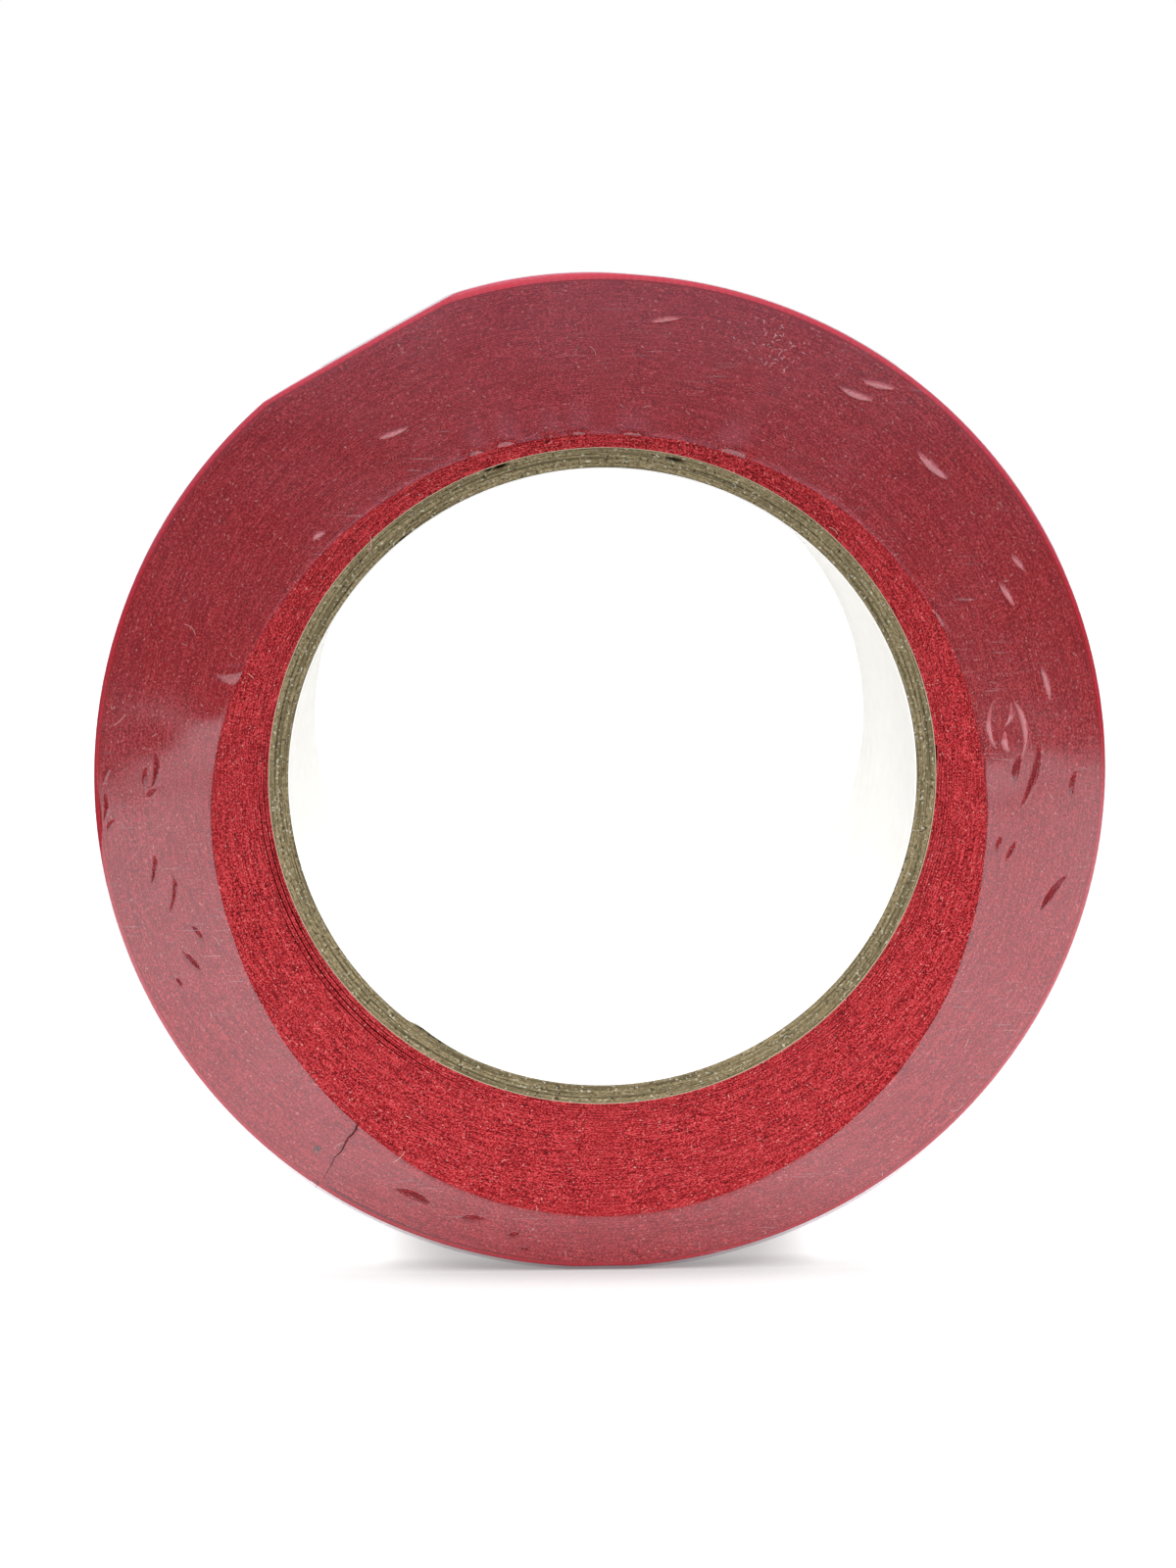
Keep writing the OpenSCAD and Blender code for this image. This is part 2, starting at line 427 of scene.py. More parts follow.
def backing_material(tape):
    """Polyethylene coated on cloth: satin red, with the weave showing through the coat."""
    material, tree = new_material("Red polyethylene coated cloth")
    threads = weave(tree)
    place = add(tree, "Attribute", attribute_name="strip")
    wear = add(tree, "TexNoise", {"Vector": place.outputs["Vector"], "Scale": 0.35, "Detail": 4.0})
    colour = overlaid(tree, tape.backing, (wear, 0.35, 0.7, 0.35, "#cf3441"),
                      (threads, 0.95, 0.3, 0.35, "#8f121f"))
    rough = add(tree, "MapRange", {0: wear, 1: 0.3, 2: 0.7, 3: 0.32, 4: 0.5})
    surface(tree, (threads, 0.5, 0.06), {"Base Color": colour, "Roughness": rough, "IOR": 1.51})
    return material


def scrim_material(tape):
    """Cotton gauze: open pale threads, dull, dragged red at the slit edges."""
    material, tree = new_material("Cotton gauze scrim")
    threads = weave(tree)
    gaps = add(tree, "MapRange", {0: threads, 1: 0.5, 2: 0.9})
    cloth = add(tree, "Mix", {0: gaps, 6: linear("#a8665f"), 7: tape.scrim}, data_type="RGBA")
    colour = knife_dragged(tree, cloth, tape)
    surface(tree, (threads, 0.7, 0.06), {"Base Color": colour, "Roughness": 0.9, "Specular IOR Level": 0.2})
    return material


def adhesive_material(tape):
    """Rubber adhesive: cream, tacky and half glossy, with the cloth's threads showing in it."""
    material, tree = new_material("Cream rubber adhesive")
    place = add(tree, "Attribute", attribute_name="strip")
    smear = add(tree, "TexNoise", {"Vector": place.outputs["Vector"], "Scale": 0.8, "Detail": 3.0})
    tone = add(tree, "Math", {0: weave(tree), 1: smear}, operation="MULTIPLY")
    share = add(tree, "MapRange", {0: tone, 1: 0.2, 2: 0.6})
    gum = add(tree, "Mix", {0: share, 6: linear("#b89a7c"), 7: tape.adhesive}, data_type="RGBA")
    colour = knife_dragged(tree, gum, tape)
    rough = add(tree, "MapRange", {0: smear, 1: 0.3, 2: 0.7, 3: 0.3, 4: 0.55})
    surface(tree, (tone, 0.4, 0.05), {"Base Color": colour, "Roughness": rough, "IOR": 1.52})
    return material


def board_material(core):
    """Grey chipboard, slit with a knife: dull fibre with pale flecks, dark specks and layers."""
    material, tree = new_material("Grey chipboard")
    pulp = wound_grain(tree, 0.5, 0.2, 2.0, 0.65)
    layers = wound_grain(tree, 18.0, 0.26, 2.0, 0.55)
    flecks = wound_grain(tree, 0.45, 0.28, 0.0)
    specks = wound_grain(tree, 0.6, 0.34, 0.0)
    layer_share = add(tree, "MapRange", {0: layers, 1: 0.38, 2: 0.54, 3: 0.12, 4: 1.0})
    pulp_share = add(tree, "MapRange", {0: pulp, 1: 0.36, 2: 0.62, 3: 0.22, 4: 1.0})
    both = add(tree, "Math", {0: layer_share, 1: pulp_share}, operation="MULTIPLY")
    grey = add(tree, "Mix", {0: both, 6: linear("#5f563f"), 7: core.board}, data_type="RGBA")
    colour = overlaid(tree, grey, (specks, 0.70, 0.78, 0.8, "#3b3628"), (flecks, 0.68, 0.78, 0.6, "#d9d7c6"))
    surface(tree, (both, 0.6, 0.1), {"Base Color": colour, "Roughness": 0.95, "Specular IOR Level": 0.15})
    return material


def liner_material(name, paper):
    """Kraft paper: matt, with soft clouding from its fibres."""
    material, tree = new_material(name)
    place = add(tree, "TexCoord").outputs["Object"]
    clouds = add(tree, "TexNoise", {"Vector": place, "Scale": 1 / (2.5 * MM), "Detail": 4.0})
    fibres = wound_grain(tree, 2.0, 0.5, 3.0)
    share = add(tree, "MapRange", {0: clouds, 1: 0.35, 2: 0.7, 3: 1.0, 4: 0.96})
    colour = add(tree, "HueSaturation", {"Value": share, "Color": paper})
    surface(tree, (fibres, 0.25, 0.03), {"Base Color": colour, "Roughness": 0.9, "Specular IOR Level": 0.2})
    return material


def mottled_material(name, size, first, second, roughness, specular):
    """Something small and dull that wavers between two tones, over a size in millimetres."""
    material, tree = new_material(name)
    place = add(tree, "TexCoord").outputs["Object"]
    tone = add(tree, "TexNoise", {"Vector": place, "Scale": 1 / (size * MM)})
    colour = add(tree, "Mix", {0: tone, 6: linear(first), 7: linear(second)}, data_type="RGBA")
    show(tree, add(tree, "BsdfPrincipled",
                   {"Base Color": colour, "Roughness": roughness, "Specular IOR Level": specular}))
    return material


def film_material(film):
    """Polyolefin shrink film: clear, glossy and a little milky, with dust, fine scratches and a smudge.

    It has a painted pale highlight over a high wrinkle, and a painted shade, a darker tint, where a low
    wrinkle lies on the tape.
    """
    material, tree = new_material("Clear polyolefin shrink film")
    place = add(tree, "TexCoord").outputs["Object"]
    outside = add(tree, "NewGeometry")
    front = add(tree, "Math", {0: 1.0, 1: outside.outputs["Backfacing"]}, operation="SUBTRACT")
    patches = add(tree, "TexNoise", {"Vector": place, "Scale": 1 / (16 * MM), "Detail": 3.0})
    scratches = []
    for turn in (1.05, -0.25):
        lines = add(tree, "Mapping", {"Vector": place, "Rotation": (0.0, turn, 0.0),
                                      "Scale": (1 / (5 * MM), 1 / (8 * MM), 1 / (0.22 * MM))})
        scratches.append(add(tree, "TexNoise", {"Vector": lines, "Scale": 1.0, "Detail": 0.0}))
    crossed = add(tree, "Math", {0: scratches[0], 1: scratches[1]}, operation="MAXIMUM")
    scratch = add(tree, "MapRange", {0: crossed, 1: 0.71, 2: 0.82, 3: 0.0, 4: 0.26})
    scuffed = add(tree, "MapRange", {0: patches, 1: 0.46, 2: 0.62})
    scuff = add(tree, "Math", {0: scratch, 1: scuffed}, operation="MULTIPLY")
    dust = add(tree, "TexVoronoi", {"Vector": place, "Scale": 1 / (3.2 * MM)})
    speck = add(tree, "MapRange", {0: dust, 1: 0.02, 2: 0.04, 3: 0.3, 4: 0.0})
    marks = add(tree, "Math", {0: scuff, 1: speck}, operation="MAXIMUM")
    bloom = add(tree, "MapRange", {0: patches, 1: 0.3, 2: 0.7, 3: 0.012, 4: 0.035})
    dimmed = add(tree, "Math", {0: marks, 1: bloom}, operation="ADD")
    stretched = add(tree, "Attribute", attribute_name="stretched").outputs["Fac"]
    # Painted shade: where a low wrinkle lies on the tape, the film lets less through, so the tape shows
    # darker there
    touching = add(tree, "MapRange", {0: stretched, 1: 0.0, 2: -1.0})
    painted_shade_tint = add(tree, "Mix", {0: touching, 6: film.clear, 7: linear("#efeaea")}, data_type="RGBA")
    body = add(tree, "BsdfTransparent", {"Color": painted_shade_tint})
    milk = add(tree, "Math", {0: dimmed, 1: front}, operation="MULTIPLY")
    # Painted highlight: a pale pink dull coat on the front of high wrinkles, mixed in below
    painted_highlight = add(tree, "MapRange", {0: stretched, 3: 0.0, 4: 0.42})
    painted_highlight_on_front = add(tree, "Math", {0: painted_highlight, 1: front}, operation="MULTIPLY")
    from_smudge = add(tree, "VectorMath", {0: place, 1: SMUDGE * MM}, operation="DISTANCE")
    smudge = add(tree, "MapRange", {0: from_smudge, 1: 0.1 * MM, 2: 0.5 * MM, 3: 0.6, 4: 0.0})
    for share, tone in ((milk, film.haze), (painted_highlight_on_front, linear("#ef8990")), (smudge, linear("#4b4744"))):
        dull = add(tree, "BsdfDiffuse", {"Color": tone})
        body = add(tree, "MixShader", {0: share, 1: body, 2: dull})
    mirror = add(tree, "Fresnel", {"IOR": 2.1})
    creased = add(tree, "Math", {0: mirror, 1: 0.2}, operation="MINIMUM")
    shine = add(tree, "Math", {0: creased, 1: front}, operation="MULTIPLY")
    gloss = add(tree, "BsdfGlossy", {"Color": (1.0, 1.0, 1.0, 1.0), "Roughness": 0.115})
    show(tree, add(tree, "MixShader", {0: shine, 1: body, 2: gloss}))
    return material


# Shapes

def spot(radius, degrees, y):
    """A point at a radius and an angle, at a place along the axis."""
    turn = math.radians(degrees)
    return Vector((radius * math.cos(turn), y, radius * math.sin(turn)))


def hung(radius, degrees, y):
    """A point of the tape or the film, which lies lower the nearer it is to the rim."""
    return spot(radius, degrees, y) - Vector((0, 0, RIM_DROP * (radius - CORE_R) / (FILM_R - CORE_R)))


def pressed(radius, degrees, rim, film=False):
    """A radius after the flats have pressed the rim in, less and less towards the core."""
    for place, tape_depth, film_depth, reach in FLATS:
        cosine = math.cos(math.radians(degrees - place))
        if cosine > 0.9:
            depth = film_depth if film else tape_depth
            share = max(0.0, 1 - (rim - radius) / reach)
            radius = min(radius, (radius - depth * share) / cosine)
    return radius


def slack(along):
    """How far the start of the last turn stands out, less and less along it."""
    most, reach = 0.25, 20
    return most * math.exp(-(along / reach) ** 2) if along >= 0 else 0.0


def tape_rim(along, tape):
    """Outer radius of the last turn."""
    return FILM_R + tape.swell / MM - tape.pitch / MM * (1 - along / 360) + slack(along)


def film_rim(along, tape):
    """Outer radius of the film, which lies on the last turn and bridges the step at the tape's end."""
    beyond = 0.1
    if along >= BRIDGE:
        return tape_rim(along, tape) + beyond
    return tape_rim(360, tape) + beyond + (tape_rim(BRIDGE, tape) - tape_rim(360, tape)) * along / BRIDGE


def add_object(name, data):
    """Puts an object into the scene."""
    thing = bpy.data.objects.new(name, data)
    bpy.context.scene.collection.objects.link(thing)
    return thing


def mesh_object(bm, name, materials):
    """Turns a mesh in millimetres into an object in metres."""
    bmesh.ops.scale(bm, vec=(MM, MM, MM), verts=bm.verts)
    mesh = bpy.data.meshes.new(name)
    bm.to_mesh(mesh)
    bm.free()
    for material in materials:
        mesh.materials.append(material)
    return add_object(name, mesh)


def aim(name, data, place, target):
    """Puts a lamp or a camera at a place and turns it to its target."""
    thing = add_object(name, data)
    thing.location = place * MM
    thing.rotation_euler = (target - place).to_track_quat("-Z", "Y").to_euler()
    return thing


def make_piece(bm, name, materials, slot, *nodes, body=None, sharp=35):
    """Turns a mesh into a finished piece that stands for nodes of the frame."""
    for face in bm.faces:
        face.smooth = True
    piece = mesh_object(bm, name, materials)
    piece.data.set_sharp_from_angle(angle=math.radians(sharp))
    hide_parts(*nodes)
    if body:
        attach(piece, body)
    return piece


def grid(columns, rows):
    """A flat sheet, one wide and one high about the origin."""
    bm = bmesh.new()
    bmesh.ops.create_grid(bm, x_segments=columns, y_segments=rows, size=0.5)
    return bm


def core_ring(inner, outer, core):
    """One ply: a closed tube with rounded, frayed ends, pitted on the front."""
    bm = bmesh.new()
    rounding = min(core.rounding / MM, (outer - inner) / 3)
    steps_out = 5
    face = [inner + rounding + (outer - inner - 2 * rounding) * i / steps_out for i in range(steps_out + 1)]
    wall = HALF_WIDTH - rounding
    loop = [(inner, -wall)] + [(r, -HALF_WIDTH) for r in face] + [(outer, -wall), (outer, wall)]
    loop += [(r, HALF_WIDTH) for r in reversed(face)] + [(inner, wall)]
    profile = [bm.verts.new((r, y, 0)) for r, y in loop]
    edges = [bm.edges.new((a, b)) for a, b in zip(profile, profile[1:] + profile[:1])]
    bmesh.ops.spin(bm, geom=profile + edges, axis=(0, 1, 0), angle=math.tau, steps=900, use_merge=True)
    for vert in bm.verts:
        x, y, z = vert.co
        if abs(y) > wall - 0.01:
            radius = math.hypot(x, z)
            degrees = math.degrees(math.atan2(z, x)) % 360
            fine = noise.noise(Vector((x, y, z)) * 1.7)
            coarse = noise.noise(Vector((x * 0.25, radius * 2.2, z * 0.25)))
            inward = core.fray / MM * (0.7 * fine + coarse + 0.7)
            for place, nick_r, length, width, depth in CORE_NICKS if y < 0 else ():
                away = math.hypot(math.radians(degrees - place) * radius / length, (radius - nick_r) / width)
                inward += depth * math.exp(-away ** 2)
            vert.co.y -= math.copysign(inward, y)
            if radius < inner + 0.01:
                jagged = 1 + 1.6 * core.fray / MM * noise.noise(Vector((x, y, z)) * 2.1) / radius
                vert.co.x *= jagged
                vert.co.z *= jagged
    bmesh.ops.recalc_face_normals(bm, faces=bm.faces)
    return bm


def liner_sheet(radius, turn, front_angle, lift):
    """A paper strip wound once round, edge to edge on a slanting seam, its front corner come up."""
    bm = grid(360, 24)
    gap, set_back, loose_angle = 0.35, 0.06, 13
    for vert in bm.verts:
        round_share, back_share = vert.co.x + 0.5, vert.co.y + 0.5
        degrees = front_angle + gap / 2 + (360 - gap) * round_share + turn * back_share
        fray = 0.05 * noise.noise(Vector((round_share * 300, 0, 0)))
        y = -HALF_WIDTH + set_back + 2 * (HALF_WIDTH - set_back) * back_share + fray
        loose = max(0.0, 1 - round_share * 360 / loose_angle) * max(0.0, 1 - back_share * 5)
        vert.co = spot(radius - lift * loose ** 1.5, degrees, y)
    return bm


def thicken(bm, thickness):
    """Gives a sheet a wall, on the side away from its faces."""
    bmesh.ops.solidify(bm, geom=bm.faces[:], thickness=thickness)


def facing(bm, outwards):
    """Turns a sheet's faces away from the axis, or towards it."""
    bm.normal_update()
    face = max(bm.faces, key=lambda f: f.calc_area())
    middle = face.calc_center_median()
    away = face.normal.dot(Vector((middle.x, 0, middle.z))) > 0
    if away != outwards:
        bmesh.ops.reverse_faces(bm, faces=bm.faces)


def loose_gap(turn, degrees):
    """How far a turn near the core has come away from the next one."""
    gap = 0.0
    for number, first, last, width in LOOSE_TURNS:
        if number == turn and first < degrees < last:
            gap = max(gap, width * math.sin(math.pi * (degrees - first) / (last - first)) ** 0.5)
    return gap


def wound_turns(turned):
    """Turns under the strip: on the core it climbs in a step over its own end, further out evenly."""
    step_start, step_share, even_turns = 0.985, 0.015, 6
    step = math.floor(turned) + max(0.0, (turned % 1 - step_start) / step_share)
    even = min(1.0, max(0.0, (turned - 1) / even_turns))
    return step + (turned - step) * even


def wound_strip(tape):
    """All turns but the last as one strip, wound from the core out, with rounded slit edges."""
    thick, pitch = tape.thickness / MM, tape.pitch / MM
    clearance, set_back, bevel = 0.01, 0.04, 0.02
    turns = (tape_rim(360, tape) - 2 * thick - clearance - CORE_R) / pitch
    steps_in_turn = 160
    section = [(0, -1, 0), (bevel, -1, 1), (thick - bevel, -1, 1), (thick, -1, 0)]
    section += [(out, 1, at_edge) for out, _, at_edge in reversed(section)]
    section.append(section[0])
    bm = grid(int(turns * steps_in_turn), len(section) - 1)
    place = bm.verts.layers.float_vector.new("strip")
    for vert in bm.verts:
        turned = (vert.co.x + 0.5) * turns
        out, side, at_edge = section[round((vert.co.y + 0.5) * (len(section) - 1))]
        degrees = (SEAM + 360 * (turned - turns)) % 360
        outer = out > thick / 2
        inner_r = CORE_R + pitch * wound_turns(turned)
        gap = loose_gap(int(turned) if outer else int(turned) - 1, degrees)
        opened = -0.65 * gap if outer else 0.35 * gap
        radius = inner_r + out + opened + slack(360 * (turned - turns + 1))
        uneven = 0.05 * noise.noise((turned * 3.1, 5.0, 0.0)) + 0.025 * noise.noise((turned * 47.0, 9.0, 0.0))
        under = turns - turned
        from_seam = abs((degrees - SEAM + 180) % 360 - 180)
        # The outermost turns lie back, so that the curled last turn covers their edges
        recess = 0.65 * min(1.0, from_seam / 8) if under < 1 else 0.35 if under < 2 else 0.0
        y = side * (HALF_WIDTH - (0 if at_edge else bevel) - set_back + uneven - recess)
        vert[place] = (turned * math.tau * inner_r, y, 0)
        vert.co = hung(pressed(radius, degrees, tape_rim(0, tape)), degrees, y)
    bmesh.ops.remove_doubles(bm, verts=bm.verts, dist=1e-5)
    bmesh.ops.holes_fill(bm, edges=[e for e in bm.edges if e.is_boundary], sides=0)
    bmesh.ops.recalc_face_normals(bm, faces=bm.faces)
    for face in bm.faces:
        middle = face.calc_center_median()
        outwards = face.normal.dot(Vector((middle.x, 0, middle.z)).normalized()) > 0.7
        if outwards and abs(middle.y) < HALF_WIDTH - 1:
            face.material_index = 1
    return bm


def strip_layer(first, last, depth, thickness, tape, rows=24):
    """One layer of the last turn between two angles along it, its outside a depth below the tape's."""
    columns_in_degree = 1.2
    bm = grid(max(8, int((last - first) * columns_in_degree)), rows)
    place = bm.verts.layers.float_vector.new("strip")
    curl_height, curl_reach = 0.6, 1.0
    for vert in bm.verts:
        along = first + (last - first) * (vert.co.x + 0.5)
        y = math.copysign(HALF_WIDTH * (1 - (1 - abs(2 * vert.co.y)) ** 3), vert.co.y)
        degrees = SEAM + along
        rim = tape_rim(along, tape)
        curl = curl_height * max(0.0, 1 - (HALF_WIDTH - abs(y)) / curl_reach) ** 2
        uneven = 0.03 * noise.noise((along * 0.09, math.copysign(3.0, y), 0.0)) * abs(y) / HALF_WIDTH
        vert[place] = (math.radians(along) * rim, y, 0)
        vert.co = hung(pressed(rim - depth - curl, degrees, rim), degrees, y + math.copysign(uneven, y))
    facing(bm, outwards=True)
    thicken(bm, thickness)
    return bm


def opening_radius(degrees, side, film):
    """Radius of the film's edge round its opening: an oval below the axis in front, above it behind."""
    turn = math.radians(degrees)
    wide, tall = film.opening_width / MM, film.opening_height / MM
    shift = film.opening_drop / MM * side
    a = (math.cos(turn) / wide) ** 2 + (math.sin(turn) / tall) ** 2
    b = -2 * math.sin(turn) * shift / tall ** 2
    c = (shift / tall) ** 2 - 1
    oval = (-b + math.sqrt(b * b - 4 * a * c)) / (2 * a)
    lobes = 0.35 * math.cos(3 * (turn - math.radians(40))) + 0.15 * math.cos(5 * (turn + math.radians(34)))
    return oval + lobes + 0.12 * noise.noise((degrees * 0.12, side * 4.0, 0.0))


def film_rows():
    """Rows of the film's mesh, from the front opening over the rim to the back one.

    Each is a side, a share of the fold or of the band, and a turn round the corner.
    """
    fold = [0, 0.008, 0.016, 0.03, 0.05, 0.08] + [0.08 + 0.92 * i / 14 for i in range(1, 15)]
    corner = [15 * i for i in range(1, 7)]
    front = [(-1, share, 0) for share in fold] + [(-1, 1, turn) for turn in corner]
    band = [(0, i / 12, 90) for i in range(1, 12)]
    return front + band + [(1, share, turn) for _, share, turn in reversed(front)]


def film_lift(degrees, radius, from_edge, share, side):
    """How far the film stands off its face: curled edge, lifted places, a twist on the left, slow waves."""
    curl = 0.07 * math.exp(-from_edge / 0.22)
    for place, half, height, reach in LIFTED_EDGE if side < 0 else ():
        near = abs(degrees % 360 - place) / half
        if near < 1:
            curl += height * (1 - near * near) ** 2 * from_edge / reach * math.exp(1 - from_edge / reach)
    x, z = math.cos(math.radians(degrees)), math.sin(math.radians(degrees))
    if side < 0:
        twist, reach = 0.0036, 9
        at_x, at_z = x * radius + 54, z * radius - 3
        curl += twist * at_x * at_z * math.exp(-(at_x / reach) ** 2 - (at_z / reach) ** 2)
    slow = 0.10 * (noise.noise((x * 3.6, z * 3.6, share * 1.1 + side * 7)) + 0.5)
    quick = 0.045 * noise.noise((x * 10, z * 10, share * 2 + side * 5))
    return curl + (slow + quick) * (1 - share ** 4)


def film_point(along, side, share, turn, film, tape):
    """A point on the outside of the film."""
    degrees = SEAM + along
    rim = film_rim(along, tape)
    rim = pressed(rim, degrees, rim, film=True)
    bulge_at, bulge_reach = 182.5, 3.5
    bulge = math.exp(-((degrees % 360 - bulge_at) / bulge_reach) ** 2)
    corner = film.corner / MM * (1 + 0.3 * noise.noise((along * 0.2, side * 3.0, 1.0)) + 1.3 * bulge)
    face = HALF_WIDTH + film.stand_off / MM
    if side == 0:
        return hung(rim, degrees, (2 * share - 1) * (face - corner))
    bend = math.radians(turn)
    opening = opening_radius(degrees, side, film)
    from_edge = (rim - corner - opening) * share
    radius = opening + from_edge + corner * math.sin(bend)
    out = face - corner * (1 - math.cos(bend)) + film_lift(degrees, radius, from_edge, share, side)
    return hung(radius, degrees, side * out)


def wrinkle_place(x, z, wrinkle):
    """Where a point of the front lies on a wrinkle: along it from -1 to 1, and its distance across."""
    at_x, at_z, length, tilt, bow, _ = wrinkle
    turn = math.radians(tilt)
    along = ((x - at_x) * math.cos(turn) + (z - at_z) * math.sin(turn)) / (length / 2)
    return along, (z - at_z) * math.cos(turn) - (x - at_x) * math.sin(turn) - bow * (0.5 - along * along)


def near_wrinkle(x, z, wrinkle):
    """Whether a face of the front, given by its middle, reaches a wrinkle."""
    beyond = 0.75
    _, _, length, _, _, half = wrinkle
    along, across = wrinkle_place(x, z, wrinkle)
    return abs(along) < 1 + 2 * beyond / length and abs(across) < half + beyond


def on_wrinkle(x, z, wrinkle):
    """How far up a wrinkle a point of the front lies, as a distance along its broad wall.

    The low wrinkles have their broad wall on top and mirror the flags. The high ones have it below and mirror
    the floor.
    """
    _, at_z, _, tilt, _, widest = wrinkle
    along, across = wrinkle_place(x, z, wrinkle)
    if abs(along) >= 1:
        return 0.0
    off_middle = 0.7
    half = widest * (1 - along * along)
    crest = math.copysign(off_middle * half, (at_z - PALE_ABOVE) * math.cos(math.radians(tilt)))
    wall = half - crest if across > crest else half + crest
    return (1 + off_middle) * half * max(0.0, 1 - abs(across - crest) / wall)


def refine_wrinkles(bm):
    """Cuts the front film finer round the wrinkles."""
    edges = {}
    for face in bm.faces:
        x, y, z = face.calc_center_median()
        if y < -HALF_WIDTH and any(near_wrinkle(x, z, wrinkle) for wrinkle in WRINKLES):
            edges.update(dict.fromkeys(face.edges))
    bmesh.ops.subdivide_edges(bm, edges=list(edges), cuts=7, use_grid_fill=True)


def film_sheet(first, last, film, tape, torn_first=False, torn_last=False):
    """The film between two angles along the last turn, wrinkled in front and torn at the seam."""
    rows = film_rows()
    columns = round(last - first)
    bm = grid(columns, len(rows) - 1)
    stretched = bm.verts.layers.float.new("stretched")
    closed_r, closing_length, full_painted_height = 60.6, 7, 0.2
    lip = []
    for vert in bm.verts:
        column = round((vert.co.x + 0.5) * columns)
        side, share, turn = rows[round((vert.co.y + 0.5) * (len(rows) - 1))]
        along = first + (last - first) * column / columns
        from_tear = column if torn_first else columns - column
        if from_tear <= 1:
            radius = math.hypot(*film_point(along, side, share, turn, film, tape).xz)
            closing = min(1.0, max(0.15, (closed_r - radius) / closing_length))
            tear = 0.30 * noise.noise((radius * 0.7, side * 5.0, 2.0))
            tear += 0.10 * noise.noise((radius * 2.6, 0.0, 7.0))
            if torn_last:
                tear -= 0.06 * closing + 0.25 * closing * from_tear
                along = last
            elif from_tear == 0:
                along = first
            else:
                tear = 0.0
            along += math.degrees(tear / radius)
            if torn_last and side < 0:
                lip.append(vert)
        vert.co = film_point(along, side, share, turn, film, tape)
    facing(bm, outwards=True)
    # The faces along the torn edge in front take the second material, the painted shade of the seam
    for face in bm.faces:
        face.material_index = 1 if all(vert in lip for vert in face.verts) else 0
    refine_wrinkles(bm)
    for vert in bm.verts:
        if vert.co.y < -HALF_WIDTH:
            x, z = vert.co.xz
            heights = [
                (on_wrinkle(x, z, wrinkle), wrinkle[1]) for wrinkle in WRINKLES
                if math.hypot(x - wrinkle[0], z - wrinkle[1]) < wrinkle[2]]
            height, level = max(heights, default=(0.0, 0.0))
            vert.co.y -= math.tan(film.wrinkle) * height
            # Share of the film's painted highlight on a high wrinkle, positive, and of its painted shade on a
            # low one, negative, by the wrinkle's height
            vert[stretched] = math.copysign(min(1.0, height / full_painted_height), level - PALE_ABOVE)
    thicken(bm, film.thickness / MM)
    return bm


def loose_fibres(count, thickness, places, seed):
    """Short fibres on arcs, lying nearly flat on the front face."""
    bm = bmesh.new()
    draw = random.Random(seed)
    for _ in range(count):
        radius, degrees, length, y = places(draw)
        bend = length * draw.uniform(0.5, 2.5)
        started = len(bm.verts)
        start = Matrix.Translation((bend, 0, 0))
        ring = bmesh.ops.create_circle(bm, segments=3, radius=thickness, matrix=start)
        rim = list(dict.fromkeys(e for v in ring["verts"] for e in v.link_edges))
        bmesh.ops.spin(bm, geom=ring["verts"] + rim, axis=(0, 1, 0), angle=length / bend, steps=4)
        bm.verts.ensure_lookup_table()
        turn = Matrix.Rotation(draw.uniform(0, math.tau), 4, "Y")
        tilt = Matrix.Rotation(draw.uniform(-0.25, 0.25), 4, "X")
        move = Matrix.Translation(spot(radius, degrees, y)) @ turn @ tilt @ Matrix.Translation((-bend, 0, 0))
        bmesh.ops.transform(bm, matrix=move, verts=bm.verts[started:])
    bmesh.ops.holes_fill(bm, edges=[e for e in bm.edges if e.is_boundary], sides=3)
    bmesh.ops.recalc_face_normals(bm, faces=bm.faces)
    return bm


# Operators

class TAPEROLL_OT_core(Operator):
    """Builds the board plies and the paper liners of the core"""

    bl_idname = "tape_roll.core"
    bl_label = "Core"

    def execute(self, context):
        core = context.scene.roll_core
        board = board_material(core)
        paper = liner_material("White kraft paper", core.liner)
        kraft = liner_material("Tan kraft paper", core.wrap)
        inner = high("core_inner_liner").x
        for node in PLIES:
            outer = CORE_R - core.wrap_thickness / MM - 0.01 if node == PLIES[-1] else high(node).x
            ring = core_ring(inner, outer, core)
            make_piece(ring, node + "_board", [board], "core_board", node, body="roll")
            inner = outer
        turn = math.degrees(core.liner_turn)
        liner = liner_sheet(BORE_R, turn, BORE_SEAM, BORE_CORNER_LIFT)
        facing(liner, outwards=False)
        thicken(liner, high("core_inner_liner").x - BORE_R - 0.02)
        make_piece(liner, "bore_liner_paper", [paper], "core_liner", "core_inner_liner", body="roll")
        wrap = liner_sheet(CORE_R, -turn, WRAP_SEAM, 0.0)
        facing(wrap, outwards=True)
        thicken(wrap, core.wrap_thickness / MM)
        make_piece(wrap, "core_wrap_paper", [kraft], "core_liner", "core_outer_liner", body="roll")
        return {"FINISHED"}


class TAPEROLL_OT_winding(Operator):
    """Winds all turns of the tape but the last, and frays their cut edges"""

    bl_idname = "tape_roll.winding"
    bl_label = "Winding"

    def execute(self, context):
        tape, film = context.scene.roll_tape, context.scene.roll_film
        materials = [tape_edge_material(tape, film), backing_material(tape)]
        make_piece(wound_strip(tape), "wound_tape", materials, "tape_edge", "tape_winding", body="roll")

        def on_face(draw):
            radius = math.sqrt(draw.uniform(CORE_R ** 2, tape_rim(0, tape) ** 2))
            return radius, draw.uniform(0, 360), draw.choice((0.5, 0.7, 0.9, 1.3, 2.0)), -HALF_WIDTH - 0.03

        # Loose cotton fibre: off white, dull
        cotton = mottled_material("Loose cotton fibre", 3, "#f0cfc2", "#d98c84", 0.8, 0.3)
        fibres = loose_fibres(tape.fibres, 0.034, on_face, seed=11)
        make_piece(fibres, "loose_cloth_fibres", [cotton], "tape_scrim", body="roll")
        return {"FINISHED"}


